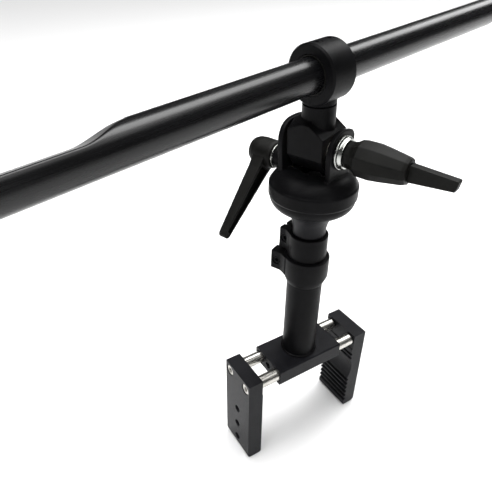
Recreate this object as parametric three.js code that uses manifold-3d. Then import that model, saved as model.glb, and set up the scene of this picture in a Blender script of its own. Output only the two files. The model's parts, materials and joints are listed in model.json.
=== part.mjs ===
// A clamp-on boom holder: a two-jaw clamp carries a short telescopic mast, a panning and
// tilting grip head with two locking levers, and a round boom held in a ring on top.
// Millimetres, +Z up. The origin is on the mast's axis at the underside of the clamp block,
// +X runs along the guide rods towards the right jaw, and +Y points to the back.
import * as THREE from "three";
import { mergeVertices } from "three/addons/utils/BufferGeometryUtils.js";
import Module from "manifold-3d";

const wasm = await Module();
wasm.setup();

// ---------- driving dimensions ----------
const GAP = 0.3; // clearance between neighbouring pieces
const ROUND = 28; // facets round a large turned piece
const SMALL = 14; // facets round a screw, pin or hole

const BLOCK = { halfLength: 35, halfWidth: 20, height: 16, chamfer: 1 };
const ROD = { radius: 5.8, offset: 13.2, z: 8 };
const JAW = { inner: 53.2, thickness: 15, halfWidth: 20, height: 100.5 };
const ROD_SEAT = { depth: 0.5, below: 17.6 }; // the milled step that the rods butt against
const PAD_HOLES = { z: [-32, -53, -73], radius: 3.4, depth: 10 }; // blind, from the jaw's back
const JAW_TEETH = { pitch: 6, depth: 2, from: 57, count: 6 };

const MAST = { radius: 15.3, bore: 13.3, bottom: BLOCK.height + GAP, top: 116 };
const LOWER_COLLAR = { radius: 19, bottom: 96.2, cone: 7, top: 121.5, earTop: 121.5, earBottom: 104 };
const LOWER_EAR = { azimuth: 114, reach: 28.1, halfWidth: 11.6 };
const POST = { radius: 13, bore: 11, bottom: 50, top: 142.6 };
const UPPER_COLLAR = { radius: 16, bottom: 121.9, top: 143.1, earBottom: 124.6 };
const UPPER_EAR = { azimuth: 109, reach: 23.2, halfWidth: 8.4 };
const SLIT = 1.6; // half width of the slit in both collars
const SPIGOT = { shank: 10.6, neck: 13.4, top: 165.2 };

const HEAD_AZIMUTH = -72; // direction of the tilt axis, towards its handle
const FLANGE = { radius: 34.4, bottom: 178.6, top: 189.4, under: 166.5 };
const TILT = { z: 217.5, rearCheek: 19.6, rearCrest: 18.9, rearSquareness: 2.8, frontCheek: 16, room: 20.2 };
const LEAN = 3.6; // how far the knuckle is tilted at rest, in degrees
const PAN_LEVER = { z: 199.8, root: -33.5, hub: 11.5, length: 22.5, reach: 77 };
const ARM_TURN = 45; // how far the pan lever's arm is turned from hanging, towards the left jaw
const SPINDLE = { radius: 7, top: 187 };
const BUSH = { outer: 9, top: 185 };
const PAN_STUD = { radius: 4, head: 6, end: -18 };
const BRAKE = { radius: 2.2, x: -16.2, top: 195.2 };
const TILT_BOLT = { radius: 4, headFrom: -26.3, headTo: -22.1, end: 44 };
const HANDLE = { from: 26.6, length: 45, pin: 39, armEnd: 77.7 };

// The heights of the knuckle, the ring and the boom are measured from the tilt axis.
const KNUCKLE = { end: 14.8, front: 17, rear: 14, shoulder: 22 };
const NECK = { radius: 12.1, top: 31.7 };
const BOOM = { radius: 11.8, wall: 2, z: 52.6, turn: 84, left: 340, right: 240 };
const RELIEF = { from: 148, to: 178, depth: 6, turn: -22 };
const PLUG_SHANK = BOOM.radius - BOOM.wall - 0.7;
const RING = { radius: 20.4, left: -12, right: 12 };
const LINER = { inner: BOOM.radius + 0.3, outer: BOOM.radius + 1.5 };
const STEM = { radius: 7, bottom: 21.5, screwZ: 26.5 };
const lockScrewPlaces = [-6, 6]; // along the ring, one behind the other on its top

// ---------- colours ----------
const finish = (color, roughness, metalness) => ({ color, roughness, metalness });
const ANODISED = finish(0x2c2c2f, 0.45, 0.6);
const COATED = finish(0x232325, 0.5, 0.4);
const BOOM_BLACK = finish(0x1c1c1f, 0.35, 0.5);
const PLASTIC = finish(0x1b1b1c, 0.55, 0);
const STEEL = finish(0xc9c6bf, 0.25, 1);
const CHROME = finish(0xdededc, 0.12, 1);
const BRASS = finish(0xb08d4a, 0.35, 1);
const NYLON = finish(0xd9d6cc, 0.6, 0);

// ---------- solids ----------
// A closed three.js geometry as a manifold solid.
function solid(geometry) {
  const bare = geometry.clone();
  bare.deleteAttribute("normal");
  bare.deleteAttribute("uv");
  const merged = mergeVertices(bare, 1e-4);
  return new wasm.Manifold(
    new wasm.Mesh({
      numProp: 3,
      vertProperties: merged.attributes.position.array,
      triVerts: new Uint32Array(merged.index.array),
    }),
  );
}

// A manifold solid as a named three.js mesh.
function piece(name, body, look) {
  const data = body.getMesh();
  const positions = new Float32Array(data.numVert * 3);
  for (let i = 0; i < data.numVert; i++) {
    positions.set(data.vertProperties.subarray(i * data.numProp, i * data.numProp + 3), i * 3);
  }
  const geometry = new THREE.BufferGeometry();
  geometry.setAttribute("position", new THREE.BufferAttribute(positions, 3));
  geometry.setIndex(new THREE.BufferAttribute(new Uint32Array(data.triVerts), 1));
  geometry.computeVertexNormals();
  const mesh = new THREE.Mesh(geometry, new THREE.MeshStandardMaterial(look));
  mesh.name = name;
  return mesh;
}

const joined = (...bodies) => bodies.reduce((sum, body) => sum.add(body));
const cut = (body, ...tools) => tools.reduce((rest, tool) => rest.subtract(tool), body);

// A box between two corners.
function box(x0, x1, y0, y1, z0, z1) {
  const geometry = new THREE.BoxGeometry(x1 - x0, y1 - y0, z1 - z0);
  return solid(geometry.translate((x0 + x1) / 2, (y0 + y1) / 2, (z0 + z1) / 2));
}

// A turned piece about Z. The profile lists [radius, z] points from bottom to top.
function turned(profile, facets = ROUND) {
  const points = profile.map(([r, z]) => new THREE.Vector2(r, z));
  return solid(new THREE.LatheGeometry(points, facets).rotateX(Math.PI / 2));
}

// A cylinder about Z.
function rod(radius, z0, z1, facets = ROUND) {
  return turned([[0, z0], [radius, z0], [radius, z1], [0, z1]], facets);
}

// A tube about Z.
function tube(outer, inner, z0, z1, facets = ROUND) {
  return turned([[inner, z0], [outer, z0], [outer, z1], [inner, z1], [inner, z0]], facets);
}

// A solid turned so that its Z axis points along X, Y, or back along X.
const alongX = (body) => body.rotate([0, 90, 0]);
const alongY = (body) => body.rotate([-90, 0, 0]);

// A cylinder along X or Y between two ends, centred on the two other coordinates.
const rodX = (r, x0, x1, y, z, facets = SMALL) => alongX(rod(r, x0, x1, facets)).translate([0, y, z]);
const rodY = (r, y0, y1, x, z, facets = SMALL) => alongY(rod(r, y0, y1, facets)).translate([x, 0, z]);
const hexX = (r, x0, x1, y, z) => rodX(r, x0, x1, y, z, 6);

// An outline in the plane of X and Z, extruded between two values of Y.
function plateXZ(points, y0, y1) {
  const shape = new THREE.Shape(points.map(([x, z]) => new THREE.Vector2(x, z)));
  const geometry = new THREE.ExtrudeGeometry(shape, { depth: y1 - y0, bevelEnabled: false });
  return solid(geometry.rotateX(Math.PI / 2).translate(0, y1, 0));
}

// An outline in the plane of Y and Z, extruded between two values of X.
function plateYZ(points, x0, x1) {
  const shape = new THREE.Shape(points.map(([y, z]) => new THREE.Vector2(y, z)));
  const geometry = new THREE.ExtrudeGeometry(shape, { depth: x1 - x0, bevelEnabled: false });
  return solid(geometry.rotateX(Math.PI / 2).rotateZ(Math.PI / 2).translate(x0, 0, 0));
}

// An outline in the plane of X and Y, extruded between two heights.
function plateXY(points, z0, z1) {
  const shape = new THREE.Shape(points.map(([x, y]) => new THREE.Vector2(x, y)));
  return solid(new THREE.ExtrudeGeometry(shape, { depth: z1 - z0, bevelEnabled: false }).translate(0, 0, z0));
}

// Points on an arc, in degrees, as [x, y] pairs.
function arc(cx, cy, r, from, to, steps) {
  return Array.from({ length: steps + 1 }, (_, i) => {
    const angle = THREE.MathUtils.degToRad(from + ((to - from) * i) / steps);
    return [cx + r * Math.cos(angle), cy + r * Math.sin(angle)];
  });
}

// A socket head screw along +X, its head's outer face at x = 0 and its shank inside the work.
function socketScrewX(headRadius, headHeight, shankRadius, length, socket) {
  return cut(
    joined(rodX(headRadius, 0, headHeight, 0, 0), rodX(shankRadius, headHeight - 0.1, length, 0, 0, 16)),
    hexX(socket, -1, headHeight * 0.6, 0, 0),
  );
}

// A set screw along +X from x = 0, with a hex socket in its outer end.
function setScrewX(radius, length, socket) {
  return cut(rodX(radius, 0, length, 0, 0, 16), hexX(socket, -1, 2.5, 0, 0));
}

// ---------- clamp ----------
const rodSides = [["front", -1], ["rear", 1]];

function slideBlock() {
  const { halfLength, halfWidth, height, chamfer } = BLOCK;
  const [w, h, c] = [halfWidth, height, chamfer];
  const section = [[-w + c, 0], [w - c, 0], [w, c], [w, h - c], [w - c, h], [-w + c, h], [-w, h - c], [-w, c]];
  const rods = rodSides.map(([, side]) =>
    rodX(ROD.radius + GAP, -halfLength - 1, halfLength + 1, side * ROD.offset, ROD.z, ROUND),
  );
  return cut(
    plateYZ(section, -halfLength, halfLength),
    ...rods,
    rod(5.8, 3.4, height + 1, SMALL), // seat of the mast foot's stub
    rodX(3.3, -halfLength - 1, -5, 0, ROD.z), // set screw that holds the stub
  );
}

// A jaw with its gripping face at x = 0 and its back at x = JAW.thickness. The left jaw's
// gripping face is plain, and the right one's has two grooves, a scoop and teeth.
function jawBody(toothed) {
  const top = BLOCK.height;
  const below = (depth) => top - depth;
  const { pitch, depth, from, count } = JAW_TEETH;
  const scoop = arc(-26, below(45), 29.2, 24.3, -24.3, 8).map(([x, z]) => [Math.max(x, 0), z]);
  const teeth = [];
  for (let i = 0; i < count; i++) {
    teeth.push([0, below(from + 2 + i * pitch)]);
    teeth.push([depth, below(from + 3.4 + i * pitch)]);
    teeth.push([depth, below(from + 5 + i * pitch)]);
    teeth.push([0, below(from + 6.4 + i * pitch)]);
  }
  const groove = (centre) => [[0, below(centre - 1.6)], [1.6, below(centre - 0.7)], [1.6, below(centre + 0.7)], [0, below(centre + 1.6)]];
  const outline = [
    [ROD_SEAT.depth, top],
    [ROD_SEAT.depth, below(ROD_SEAT.below)],
    [0, below(ROD_SEAT.below)],
    ...(toothed ? [...groove(24.5), ...groove(29.5), ...scoop, ...teeth] : []),
    [0, below(JAW.height - 2)],
    ...arc(2, below(JAW.height - 2), 2, 180, 270, 3),
    ...arc(JAW.thickness - 4, below(JAW.height - 4), 4, 270, 360, 4),
    [JAW.thickness, top],
  ];
  const tidy = outline.filter(([x, z], i) => i === 0 || Math.hypot(x - outline[i - 1][0], z - outline[i - 1][1]) > 0.05);
  const holeFrom = JAW.thickness - PAD_HOLES.depth;
  const pads = PAD_HOLES.z.map((z) => rodX(PAD_HOLES.radius, holeFrom, JAW.thickness + 1, 0, z));
  return cut(plateXZ(tidy.reverse(), -JAW.halfWidth, JAW.halfWidth), ...pads);
}

// A jaw with the two holes and counterbores of its screws. The rods butt against it.
function drilledJaw(toothed) {
  const outer = JAW.thickness;
  const holes = rodSides.flatMap(([, side]) => [
    rodX(5.4, outer - 6, outer + 1, side * ROD.offset, ROD.z),
    rodX(3.3, -1, outer, side * ROD.offset, ROD.z),
  ]);
  return cut(jawBody(toothed), ...holes);
}

// A guide rod with a threaded hole in each end.
function guideRod(side) {
  const half = JAW.inner + ROD_SEAT.depth - GAP;
  const thread = 19;
  return cut(
    rodX(ROD.radius, -half, half, 0, 0, ROUND),
    rodX(3, -half - 1, -half + thread, 0, 0, 16),
    rodX(3, half - thread, half + 1, 0, 0, 16),
  ).translate([0, side * ROD.offset, ROD.z]);
}

function clamp() {
  const group = new THREE.Group();
  group.add(piece("slide_block", slideBlock(), ANODISED));
  const outer = JAW.inner + JAW.thickness;
  for (const [end, direction] of [["left", -1], ["right", 1]]) {
    const jaw = piece(end + "_jaw", drilledJaw(direction > 0), ANODISED);
    jaw.position.x = direction * JAW.inner;
    jaw.rotation.z = direction < 0 ? Math.PI : 0;
    group.add(jaw);
    for (const [label, side] of rodSides) {
      const screw = piece(end + "_jaw_screw_" + label, socketScrewX(5, 5.2, 2.7, 29, 2.6), STEEL);
      screw.position.set(direction * (outer - 0.5), side * ROD.offset, ROD.z);
      screw.rotation.z = direction < 0 ? 0 : Math.PI;
      group.add(screw);
    }
  }
  for (const [label, side] of rodSides) {
    group.add(piece("guide_rod_" + label, guideRod(side), STEEL));
  }
  const foot = piece("mast_foot_set_screw", setScrewX(3, 28.2, 1.8), COATED);
  foot.position.set(-BLOCK.halfLength + 0.8, 0, ROD.z);
  group.add(foot);
  return group;
}

// ---------- mast ----------
// A plug pressed into the tube's foot, with a stub that stands in the block.
function mastFoot() {
  return turned([
    [0, 4], [5.4, 4], [5.4, BLOCK.height + GAP], [MAST.bore - GAP, BLOCK.height + GAP],
    [MAST.bore - GAP, 36], [MAST.bore - 2, 37.5], [0, 37.5],
  ]);
}

// The tube, with a rolled bead round its foot.
function mastTube() {
  const { radius, bore, bottom, top } = MAST;
  return turned([
    [bore, bottom], [radius + 1.4, bottom], [radius + 1.3, bottom + 0.8], [radius, bottom + 1.6],
    [radius, top], [bore, top], [bore, bottom],
  ], 32);
}

// A split collar: a turned ring with a slotted ear. The ear is built along +X.
function splitCollar(profile, bore, ear, z0, z1, boltZ) {
  const inner = 0.5 * (bore + ear.halfWidth);
  const flank = ear.halfWidth + 3.5;
  const outline = [
    [0, -flank], [inner, -flank], [bore + 1.5, -ear.halfWidth - 1.2], [bore + 4.5, -ear.halfWidth],
    [ear.reach, -ear.halfWidth], [ear.reach, ear.halfWidth],
    [bore + 4.5, ear.halfWidth], [bore + 1.5, ear.halfWidth + 1.2], [inner, flank], [0, flank],
  ];
  const low = profile[0][1] - 1;
  const high = profile[profile.length - 2][1] + 1;
  const boltX = ear.reach - 5.6;
  return cut(
    joined(turned(profile, 32), plateXY(outline, z0, z1)),
    rod(bore, low, high, 32),
    box(0, ear.reach + 1, -SLIT, SLIT, low, high),
    rodY(2.3, -ear.halfWidth - 1, ear.halfWidth + 1, boltX, boltZ, 16),
    rodY(4, ear.halfWidth - 4.2, ear.halfWidth + 1, boltX, boltZ),
    rodY(4.2, -ear.halfWidth - 1, -ear.halfWidth + 3.2, boltX, boltZ, 6),
  );
}

function lowerCollar() {
  const { radius, bottom, cone, top } = LOWER_COLLAR;
  const bore = POST.radius + GAP;
  const seat = MAST.radius + GAP;
  const profile = [
    [bore - 2, bottom], [seat + 0.6, bottom], [radius, bottom + cone], [radius, top - 1],
    [radius - 1, top], [bore - 2, top], [bore - 2, bottom],
  ];
  const z = (LOWER_COLLAR.earTop + LOWER_COLLAR.earBottom) / 2;
  const collar = splitCollar(profile, bore, LOWER_EAR, LOWER_COLLAR.earBottom, LOWER_COLLAR.earTop - 0.4, z);
  return cut(collar, rod(seat, bottom - 1, MAST.top + GAP, 32));
}

function upperCollar() {
  const { radius, bottom, top } = UPPER_COLLAR;
  const bore = POST.radius + GAP;
  const profile = [
    [bore - 2, bottom], [radius, bottom], [radius, top - 0.8], [radius - 0.8, top], [bore - 2, top], [bore - 2, bottom],
  ];
  const z = (top + UPPER_COLLAR.earBottom) / 2;
  return splitCollar(profile, bore, UPPER_EAR, UPPER_COLLAR.earBottom, top - 0.4, z);
}

// A pinch bolt along Y for an ear of the given half width, with its head at +Y.
function pinchBolt(halfWidth) {
  const face = halfWidth - 0.6;
  return cut(
    joined(rodY(3.6, face - 3.2, face, 0, 0), rodY(2, -face, face - 3.1, 0, 0, 12)),
    rodY(1.9, face - 2, face + 1, 0, 0, 6),
  );
}

function pinchNut(halfWidth) {
  return cut(
    rodY(3.8, -halfWidth + 0.4, -halfWidth + 2.8, 0, 0, 6),
    rodY(2.2, -halfWidth - 1, -halfWidth + 4, 0, 0, 12),
  );
}

function addCollar(group, name, body, ear, boltZ) {
  const turn = new THREE.Group();
  turn.rotation.z = THREE.MathUtils.degToRad(ear.azimuth);
  turn.add(piece(name + "_collar", body, COATED));
  for (const [part, shape] of [["_collar_bolt", pinchBolt(ear.halfWidth)], ["_collar_nut", pinchNut(ear.halfWidth)]]) {
    const fastener = piece(name + part, shape, COATED);
    fastener.position.set(ear.reach - 5.6, 0, boltZ);
    turn.add(fastener);
  }
  group.add(turn);
}

// The head's stem: a shank clamped in the post, a flared neck, and a flat top under the yoke.
function headSpigot() {
  const { shank, neck, top } = SPIGOT;
  const foot = UPPER_COLLAR.top + GAP;
  return cut(
    turned([
      [0, 98], [shank - 1, 98], [shank, 99], [shank, foot], [neck, foot], [neck + 0.2, foot + 3],
      [neck + 1, 151], [neck + 2.2, 155.5], [neck + 4, 160], [neck + 6.6, top - 0.8], [neck + 6.6, top], [0, top],
    ], 36),
    rod(4.4, top - 14, top + 1, SMALL),
  );
}

function mast() {
  const group = new THREE.Group();
  group.add(piece("mast_foot_plug", mastFoot(), STEEL));
  group.add(piece("mast_tube", mastTube(), COATED));
  const { bore, radius, bottom, top } = POST;
  group.add(piece("telescopic_post", tube(radius, bore, bottom, top, 32), COATED));
  const lowerZ = (LOWER_COLLAR.earTop + LOWER_COLLAR.earBottom) / 2;
  addCollar(group, "lower", lowerCollar(), LOWER_EAR, lowerZ);
  addCollar(group, "upper", upperCollar(), UPPER_EAR, (UPPER_COLLAR.top + UPPER_COLLAR.earBottom) / 2);
  group.add(piece("head_spigot", headSpigot(), ANODISED));
  return group;
}

// ---------- head ----------
// Inside the head +X is the tilt axis, pointing to the tilt handle, and +Y is square to it.
const CHEEK = { frontIn: 17, frontOut: 21, rearIn: -17.5, rearOut: -21.8 };

// A cheek with a crown of the given outline on a flared foot.
function cheek(crown, foot, x0, x1) {
  const outline = [
    [-foot - 7, 187], [foot + 7, 187], [foot + 2, 191.5], [foot, 197],
    ...crown, [-foot, 197], [-foot - 2, 191.5],
  ];
  return plateYZ(outline, x0, x1);
}

// The rear cheek's crown: half of an oval with full shoulders.
function fullCrown() {
  const { z, rearCheek, rearCrest, rearSquareness } = TILT;
  const bent = (share) => Math.sign(share) * Math.abs(share) ** (2 / rearSquareness);
  return arc(0, 0, 1, 0, 180, 18).map(([y, up]) => [rearCheek * bent(y), z + rearCrest * bent(up)]);
}

// The square stop lug at the back of the front cheek.
function stopLug() {
  const { z } = TILT;
  const outline = [[0, z], [17, z], [15.6, z + 10], [12.4, z + 13.6], [4, z + 15.4], [0, z + 15.4]];
  return plateYZ(outline, CHEEK.frontIn, CHEEK.frontOut);
}

function yokeBase() {
  const { radius, bottom, top, under } = FLANGE;
  const bell = turned([
    [0, under], [22.6, under], [26.5, 167.8], [30.6, 171], [33, 175], [33.4, bottom - 0.3],
    [radius - 0.5, bottom], [radius, bottom + 0.6], [radius, top - 0.8], [radius - 0.9, top],
    [30.5, 192.6], [27, 195.6], [23.5, 198], [21, 198.6], [0, 198.6],
  ], 40);
  const boss = rodX(9.2, PAN_LEVER.root, -10, 0, PAN_LEVER.z, ROUND);
  return cut(
    joined(
      bell,
      cheek(arc(0, TILT.z, TILT.frontCheek, 0, 180, 14), 14, CHEEK.frontIn, CHEEK.frontOut),
      stopLug(),
      cheek(fullCrown(), 17, CHEEK.rearOut, CHEEK.rearIn),
      boss,
    ),
    rodX(TILT.room, CHEEK.rearIn, CHEEK.frontIn, 0, TILT.z, 40), // room for the knuckle
    rodX(TILT_BOLT.radius + GAP, -30, 30, 0, TILT.z),
    rod(BUSH.outer + GAP, under - 1, BUSH.top + GAP, SMALL),
    rod(11, BUSH.top, 200, SMALL), // room for the spindle's washer and nut
    rodX(PAN_STUD.radius + GAP, PAN_LEVER.root - 1, -15, 0, PAN_LEVER.z),
    rod(BRAKE.radius + GAP, under - 1, PAN_LEVER.z, 16).translate([BRAKE.x, 0, 0]),
  );
}

// The spindle: its thread stands in the spigot, and its journal carries the yoke.
function panSpindle() {
  return turned([
    [0, 152], [4, 152], [4, SPIGOT.top + GAP], [SPINDLE.radius, SPIGOT.top + GAP],
    [SPINDLE.radius, SPINDLE.top], [4, SPINDLE.top], [4, 195], [0, 195],
  ], SMALL);
}

// The tilting knuckle, about the tilt axis: a block with two flat flanks and chamfers below them,
// a sloping shoulder, and a round neck.
function tiltKnuckle() {
  const { end, front, rear, shoulder } = KNUCKLE;
  const flanks = plateYZ([
    [-9, -15.5], [9, -15.5], [rear, -6], [rear, shoulder + 1], [-front, shoulder + 1], [-front, -4],
  ], -end, end);
  const dome = turned([[0, -17], [24, -17], [24, 12.6], [18.8, 18.2], [17, 20.4], [NECK.radius, shoulder], [0, shoulder]], 40);
  const slope = plateXZ([[2.4, 21], [end + 1, 12.2], [end + 1, 30], [2.4, 30]], -front - 1, front + 1);
  return cut(
    joined(
      cut(flanks.intersect(dome), slope),
      rod(NECK.radius, 6, NECK.top, 32),
    ),
    rodX(TILT_BOLT.radius + GAP, -30, 30, 0, 0),
    rod(STEM.radius + GAP, STEM.bottom - GAP, NECK.top + 1, SMALL),
    rodY(2.8, 4, 14, 0, STEM.screwZ, 12),
  );
}

// A washer about the tilt axis.
const tiltWasher = (outer, x0, x1) =>
  alongX(tube(outer, TILT_BOLT.radius + GAP, x0, x1)).translate([0, 0, TILT.z]);

function tiltBolt() {
  const { radius, headFrom, headTo, end } = TILT_BOLT;
  return joined(rodX(7.5, headFrom, headTo, 0, TILT.z, 6), rodX(radius, headTo - 0.1, end, 0, TILT.z));
}

// The plated ferrule at the root of the tilt handle.
function tiltFerrule() {
  const [from, to] = [CHEEK.frontOut + 2.2, HANDLE.from - GAP];
  const bore = TILT_BOLT.radius + GAP;
  return alongX(turned([[bore, from], [11.8, from], [11.6, from + 1], [10.8, to], [bore, to], [bore, from]]))
    .translate([0, 0, TILT.z]);
}

// The barrel grip on the tilt bolt: ten flat flanks, a narrow root and a narrower end.
function tiltHandle() {
  const { from, length, pin } = HANDLE;
  const z = TILT.z;
  const barrel = alongX(turned([
    [0, from], [10, from], [10.2, from + 4], [11.2, from + 6.4], [13.4, from + 9.6],
    [13.5, from + 20], [12.6, from + 27], [10, from + length - 2.4], [9, from + length], [0, from + length],
  ], 10));
  return cut(
    barrel.translate([0, 0, z]),
    rodX(TILT_BOLT.radius + GAP, from - 1, from + 24, 0, z),
    rodX(7.3, from - 1, from + 13, 0, z, 6), // seat of the nut
    box(from + 34, from + 50, -3.5, 3.5, z - 5.8, z + 5.8), // slot for the arm's root
    rodY(2.2, -8, 14, from + pin, z, 12),
    rodY(4.2, 8.6, 16, from + pin, z), // seat of the pin's head
  );
}

// The flat arm that stands in the barrel's end and is pinned across it.
function tiltArm() {
  const { from, pin, armEnd } = HANDLE;
  const z = TILT.z;
  const end = from + armEnd;
  const outline = [
    [from + 34.4, z - 5.4], [from + 34.4, z + 5.4], [from + 45.4, z + 5.4], [from + 45.8, z + 5.9],
    ...arc(end - 1.4, z + 2.9, 1.2, 90, 0, 2),
    ...arc(end - 2.2, z - 2.2, 1.2, 0, -90, 2), [from + 45.8, z - 6.1], [from + 45.4, z - 5.4],
  ];
  const groove = [[from + 50, z - 3], [from + 50, z + 3], [end - 5.4, z + 1.6], [end - 5.4, z - 1.6]];
  return cut(
    plateXZ(outline, -3.2, 3.2),
    plateXZ(groove, 2.3, 5),
    rodY(2.2, -6, 6, from + pin, z, 12),
  );
}

// The pin across the barrel, with a domed head on the rear side.
function tiltArmPin() {
  const x = HANDLE.from + HANDLE.pin;
  const dome = turned([[0, 0], [3.8, 0], [3.6, 1.1], [2.6, 2], [1.2, 2.4], [0, 2.5]], SMALL);
  const seat = 8.9;
  return joined(rodY(1.9, -7.6, seat + 0.1, x, TILT.z, 12), alongY(dome).translate([x, seat, TILT.z]));
}

function panWasher() {
  return alongX(tube(10.8, PAN_STUD.radius + GAP, PAN_LEVER.root - 1.8, PAN_LEVER.root - GAP))
    .translate([0, 0, PAN_LEVER.z]);
}

// The steel insert of the pan lever: a toothed head and the stud that reaches the brake pin.
function panStud() {
  const { radius, head, end } = PAN_STUD;
  const headFrom = PAN_LEVER.root - 2.1;
  return cut(
    joined(
      rodX(head, headFrom - 12, headFrom, 0, PAN_LEVER.z, 12),
      alongX(turned([[0, headFrom - 0.1], [radius, headFrom - 0.1], [radius, end - 2.6], [1.6, end], [0, end]], SMALL))
        .translate([0, 0, PAN_LEVER.z]),
    ),
    rodX(2.6, headFrom - 13, headFrom - 2, 0, PAN_LEVER.z, 16),
  );
}

// The pan lever: a tapered hub about the stud, and an arm whose inner side is hollowed.
function panLever() {
  const { root, hub, length, reach, z } = PAN_LEVER;
  const inner = root - 2.1;
  const outer = root - length - 2;
  const body = alongX(turned([
    [0, outer], [hub - 3.4, outer], [hub - 2.3, outer + 1], [hub - 0.6, outer + 4.4],
    [hub, outer + 9], [hub - 0.3, inner - 2], [hub - 1, inner], [0, inner],
  ], 24));
  const arm = plateYZ([
    [-10.4, 0], [-7, -16], [-3.4, -reach + 3.4], ...arc(0, -reach + 3.4, 3.2, 180, 360, 6),
    [7, -16], [10.4, 0],
  ], 0, 11);
  const wedge = plateXZ([[0, 2], [0, -reach - 1], [2.6, -reach - 1], [0.01, -8]], -8, 8);
  const far = plateXZ([[11, 2], [11, -reach - 1], [9.4, -reach - 1], [10.99, -8]], -8, 8);
  const hollow = plateYZ([[-5, -13], [-2, -reach + 5], [2, -reach + 5], [5, -13]], 7, 12);
  const shaped = cut(arm, wedge, far, hollow).translate([outer + 7, 0, 0]);
  return cut(
    joined(body, shaped.rotate([-ARM_TURN, 0, 0])),
    rodX(PAN_STUD.head + GAP, inner - 12.6, inner + 1, 0, 0, 12),
    rodX(3, outer - 1, inner, 0, 0, 16),
    rodX(5.6, outer - 1, outer + 6.4, 0, 0),
  ).translate([0, 0, z]);
}

// The screw that holds the lever on its insert against the spring.
function panLeverScrew() {
  const outer = PAN_LEVER.root - PAN_LEVER.length - 2;
  const insert = PAN_LEVER.root - 2.1 - 12;
  return cut(
    joined(
      rodX(4.8, outer - 0.4, outer + 1.6, 0, PAN_LEVER.z),
      rodX(2.2, outer + 1.5, insert + 8, 0, PAN_LEVER.z, 16),
    ),
    hexX(2, outer - 1, outer + 0.8, 0, PAN_LEVER.z),
  );
}

// A coil spring along X between two ends.
function coilSpring(x0, x1, radius, wire, turns) {
  class Helix extends THREE.Curve {
    getPoint(t, target = new THREE.Vector3()) {
      const angle = 2 * Math.PI * turns * t;
      return target.set(x0 + (x1 - x0) * t, radius * Math.cos(angle), radius * Math.sin(angle));
    }
  }
  const section = new THREE.Shape(arc(0, 0, wire, 0, 288, 4).map(([x, y]) => new THREE.Vector2(x, y)));
  const options = { steps: Math.round(turns * 9), extrudePath: new Helix(), bevelEnabled: false };
  return solid(new THREE.ExtrudeGeometry(section, options));
}

function head() {
  const group = new THREE.Group();
  group.rotation.z = THREE.MathUtils.degToRad(HEAD_AZIMUTH);
  const z = TILT.z;
  const frontWasher = CHEEK.frontOut + GAP;
  const nutFrom = HANDLE.from + GAP;
  const outer = PAN_LEVER.root - PAN_LEVER.length - 2;
  const spring = coilSpring(outer + 2.2, outer + 3.4, 3.9, 0.4, 1.25).translate([0, 0, PAN_LEVER.z]);
  const parts = [
    ["pan_spindle", panSpindle(), COATED],
    ["pan_thrust_washer", tube(13.6, SPINDLE.radius + GAP, SPIGOT.top + GAP, FLANGE.under - GAP), NYLON],
    ["pan_bush", tube(BUSH.outer, SPINDLE.radius + 0.1, FLANGE.under, BUSH.top), BRASS],
    ["pan_washer", tube(10.4, 4.3, SPINDLE.top + 0.1, SPINDLE.top + 1.7), COATED],
    ["pan_nut", cut(rod(7.4, SPINDLE.top + 2, SPINDLE.top + 6.4, 6), rod(4.3, 180, 200, SMALL)), COATED],
    ["pan_brake_pin", rod(BRAKE.radius, SPIGOT.top + GAP, BRAKE.top, 12).translate([BRAKE.x, 0, 0]), BRASS],
    ["yoke_base", yokeBase(), COATED],
    ["tilt_bolt", tiltBolt(), STEEL],
    ["tilt_disc_rear", tiltWasher(12, CHEEK.rearIn + GAP, -KNUCKLE.end - GAP), NYLON],
    ["tilt_disc_front", tiltWasher(12, KNUCKLE.end + GAP, CHEEK.frontIn - GAP), NYLON],
    ["tilt_washer", tiltWasher(12.6, frontWasher, frontWasher + 1.6), CHROME],
    ["tilt_handle_ferrule", tiltFerrule(), CHROME],
    ["tilt_handle", tiltHandle(), PLASTIC],
    ["tilt_handle_nut", cut(rodX(7, nutFrom, nutFrom + 12, 0, z, 6), rodX(TILT_BOLT.radius + GAP, 20, 50, 0, z)), BRASS],
    ["tilt_handle_arm", tiltArm(), PLASTIC],
    ["tilt_handle_pin", tiltArmPin(), COATED],
    ["pan_lever_washer", panWasher(), CHROME],
    ["pan_lever_stud", panStud(), STEEL],
    ["pan_lever", panLever(), PLASTIC],
    ["pan_lever_screw", panLeverScrew(), STEEL],
    ["pan_lever_spring", spring, STEEL],
  ];
  for (const [name, body, look] of parts) group.add(piece(name, body, look));
  group.add(leaning());
  return group;
}

// ---------- boom ----------
// Inside the boom +X runs along the tube, and the origin is where it crosses the knuckle's axis.
// A solid turned from the boom's own frame into the knuckle's.
const toBoomFrame = (body) => body.rotate([0, 0, BOOM.turn]).translate([0, 0, BOOM.z]);

// How deep the relief is pressed at a place along the tube.
function reliefDepth(x) {
  const share = THREE.MathUtils.smoothstep(-x, RELIEF.from, RELIEF.to);
  return RELIEF.depth * share;
}

// One ring of the tube's section, pressed flat on the side that faces RELIEF.turn from the top.
function tubeSection(x, radius, facets) {
  const level = radius - reliefDepth(x);
  return Array.from({ length: facets }, (_, i) => {
    const angle = (2 * Math.PI * i) / facets;
    const towards = Math.cos(angle - Math.PI / 2 - THREE.MathUtils.degToRad(RELIEF.turn));
    const r = towards > 0 ? Math.min(radius, level / towards) : radius;
    return new THREE.Vector3(x, r * Math.cos(angle), r * Math.sin(angle));
  });
}

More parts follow.
